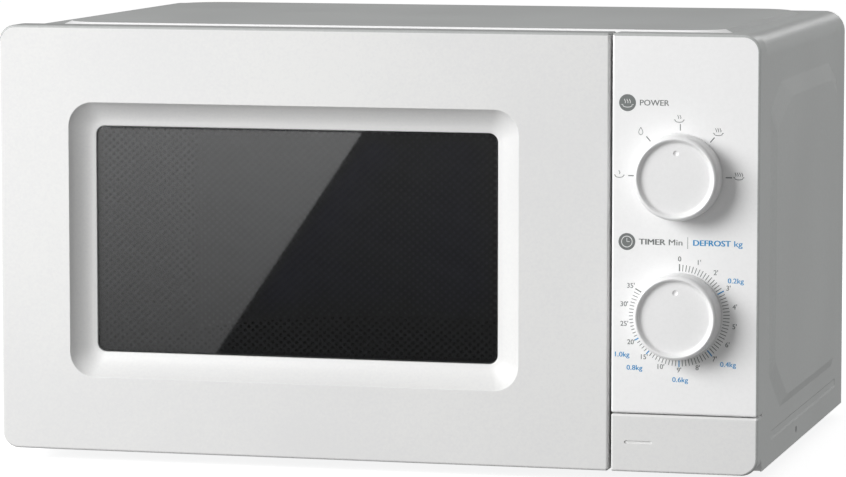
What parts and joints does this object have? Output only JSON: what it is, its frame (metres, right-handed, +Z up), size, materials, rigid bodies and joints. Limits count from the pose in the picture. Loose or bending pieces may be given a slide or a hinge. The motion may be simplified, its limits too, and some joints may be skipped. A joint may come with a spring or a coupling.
{
  "type": "microwave oven",
  "caption": "Compact counter-top microwave oven with a left-hinged windowed door, two dials, a push-button door latch, glass turntable and full inner works.",
  "frame": {"origin": "on the floor, under the middle of the whole oven, at rest with the door closed", "axes": "+Z up, -Y is the front with the door and the dials, +X is the control panel's side"},
  "size_m": [0.442, 0.3186, 0.2505],
  "materials": {
    "white_abs": "moulded, satin gloss",
    "cover_paint": "baked light grey powder paint on pressed steel",
    "cavity_paint": "baked grey enamel paint",
    "steel": "zinc-plated pressed sheet",
    "aluminium": "mill finish",
    "copper": "enamelled winding wire",
    "window_glass": "dark tinted, polished, with a printed dot pattern",
    "tray_glass": "pressed clear glass",
    "lamp_glass": "clear lamp glass",
    "mica": "pressed mica sheet",
    "black_plastic": "moulded, matt",
    "nylon": "moulded natural nylon",
    "rubber": "moulded rubber",
    "board": "glass-epoxy circuit board"
  },
  "bodies": {
    "root": {"outer_cover": "cover_paint", "base_plate": "steel", "rear_panel": "cover_paint", "cord_gland": "black_plastic", "foot_1": "rubber", "foot_2": "rubber", "foot_3": "rubber", "foot_4": "rubber", "cavity_shell": "cavity_paint", "front_plate": "cavity_paint", "hinge_lower": "steel", "hinge_upper": "steel", "waveguide": "steel", "waveguide_cover": "mica", "magnetron_yoke": "steel", "magnetron_fins": "aluminium", "magnetron_antenna": "aluminium", "magnetron_filter": "steel", "transformer_core": "steel", "transformer_primary": "copper", "transformer_secondary": "copper", "capacitor": "aluminium", "capacitor_strap": "steel", "hv_diode": "black_plastic", "fan_shroud": "nylon", "fan_motor": "steel", "air_duct": "nylon", "lamp_holder": "black_plastic", "lamp_bulb": "lamp_glass", "thermal_cutout": "black_plastic", "filter_board": "board", "turntable_motor": "steel", "latch_board": "nylon", "microswitch_lower": "black_plastic", "microswitch_middle": "black_plastic", "microswitch_upper": "black_plastic", "control_panel": "white_abs", "timer_unit": "black_plastic", "power_selector": "black_plastic", "button_spring": "steel"},
    "door": {"door_frame": "white_abs", "door_glass": "window_glass", "door_inner_panel": "steel", "choke_cover": "white_abs", "latch_spring": "steel"},
    "latch": {"latch_hook": "nylon"},
    "button": {"release_button": "white_abs"},
    "slide": {"release_slide": "nylon"},
    "power_dial": {"power_knob": "white_abs", "power_shaft": "steel"},
    "timer_dial": {"timer_knob": "white_abs", "timer_shaft": "steel"},
    "fan": {"fan_blade": "nylon"},
    "coupler": {"turntable_coupler": "nylon"},
    "tray": {"glass_tray": "tray_glass"},
    "ring": {"roller_ring": "nylon"},
    "roller_1": {"roller_1": "nylon"},
    "roller_2": {"roller_2": "nylon"},
    "roller_3": {"roller_3": "nylon"}
  },
  "joints": [
    {"name": "door_hinge", "type": "hinge", "parent": "root", "child": "door", "pos_m": [-0.21275, -0.13575, 0.1285], "axis": [0, 0, -1], "range_deg": [0, 105]},
    {"name": "release_button", "type": "slide", "parent": "root", "child": "button", "axis": [0, 1, 0], "range_m": [0, 0.004], "stiffness_N_per_m": 600, "deforming": ["button_spring"]},
    {"name": "release_slide", "type": "slide", "parent": "root", "child": "slide", "axis": [0, 0, 1], "range_m": [0, 0.004]},
    {"name": "latch_slide", "type": "slide", "parent": "door", "child": "latch", "axis": [0, 0, 1], "range_m": [0, 0.004], "stiffness_N_per_m": 150, "deforming": ["latch_spring"]},
    {"name": "power_knob_turn", "type": "hinge", "parent": "root", "child": "power_dial", "pos_m": [0.17535, -0.14475, 0.1717], "axis": [0, 1, 0], "range_deg": [-90, 90]},
    {"name": "timer_knob_turn", "type": "hinge", "parent": "root", "child": "timer_dial", "pos_m": [0.17535, -0.14475, 0.095], "axis": [0, 1, 0], "range_deg": [0, 300]},
    {"name": "fan_spin", "type": "hinge", "parent": "root", "child": "fan", "pos_m": [0.1649, 0.13525, 0.167], "axis": [0, 1, 0], "continuous": true},
    {"name": "turntable_spin", "type": "hinge", "parent": "root", "child": "coupler", "pos_m": [-0.04175, 0.0113, 0.027], "axis": [0, 0, 1], "continuous": true},
    {"name": "tray_lift", "type": "slide", "parent": "coupler", "child": "tray", "axis": [0, 0, 1], "range_m": [0, 0.05]},
    {"name": "ring_spin", "type": "hinge", "parent": "root", "child": "ring", "pos_m": [-0.04175, 0.0113, 0.027], "axis": [0, 0, 1], "continuous": true},
    {"name": "roller_1_spin", "type": "hinge", "parent": "ring", "child": "roller_1", "pos_m": [0.04825, 0.0113, 0.0353], "axis": [1, 0, 0], "continuous": true},
    {"name": "roller_2_spin", "type": "hinge", "parent": "ring", "child": "roller_2", "pos_m": [-0.08675, 0.08924, 0.0353], "axis": [-0.5, 0.866, 0], "continuous": true},
    {"name": "roller_3_spin", "type": "hinge", "parent": "ring", "child": "roller_3", "pos_m": [-0.08675, -0.06664, 0.0353], "axis": [-0.5, -0.866, 0], "continuous": true}
  ],
  "couplings": [
    {"joint": "release_slide", "follows": "release_button", "ratio": 1},
    {"joint": "latch_slide", "follows": "release_button", "ratio": 1},
    {"joint": "ring_spin", "follows": "turntable_spin", "ratio": 0.5},
    {"joint": "roller_1_spin", "follows": "turntable_spin", "ratio": -5.625},
    {"joint": "roller_2_spin", "follows": "turntable_spin", "ratio": -5.625},
    {"joint": "roller_3_spin", "follows": "turntable_spin", "ratio": -5.625}
  ]
}
